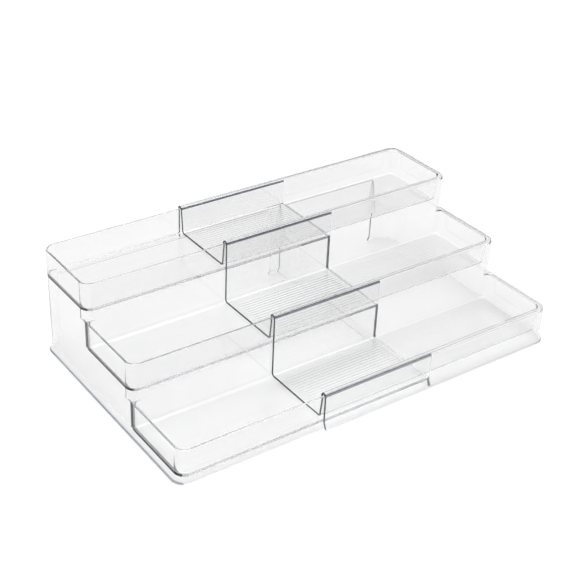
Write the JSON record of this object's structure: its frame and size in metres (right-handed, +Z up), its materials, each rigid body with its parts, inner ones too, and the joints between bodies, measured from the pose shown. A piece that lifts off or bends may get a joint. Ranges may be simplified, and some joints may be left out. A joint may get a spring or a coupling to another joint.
{
  "type": "expandable tiered shelf",
  "caption": "Clear moulded three-tier step shelf whose two nested sections slide apart to widen it, with a walled tray on each tier.",
  "frame": {"origin": "middle of the footprint, on the surface that the shelf stands on, with the two sections as shown", "axes": "+X along the width, towards the right section's closed end; +Y from the lowest tray at the front to the top tray at the rear; +Z up"},
  "size_m": [0.3968, 0.2378, 0.1044],
  "materials": {
    "left_clear_plastic": "clear polished moulded plastic",
    "right_clear_plastic": "clear polished moulded plastic"
  },
  "bodies": {
    "left_section": {"left_section": "left_clear_plastic"},
    "right_section": {"right_section": "right_clear_plastic"}
  },
  "joints": [
    {"name": "width_slide", "type": "slide", "parent": "left_section", "child": "right_section", "axis": [1, 0, 0], "range_m": [-0.1245, 0.0895]}
  ]
}
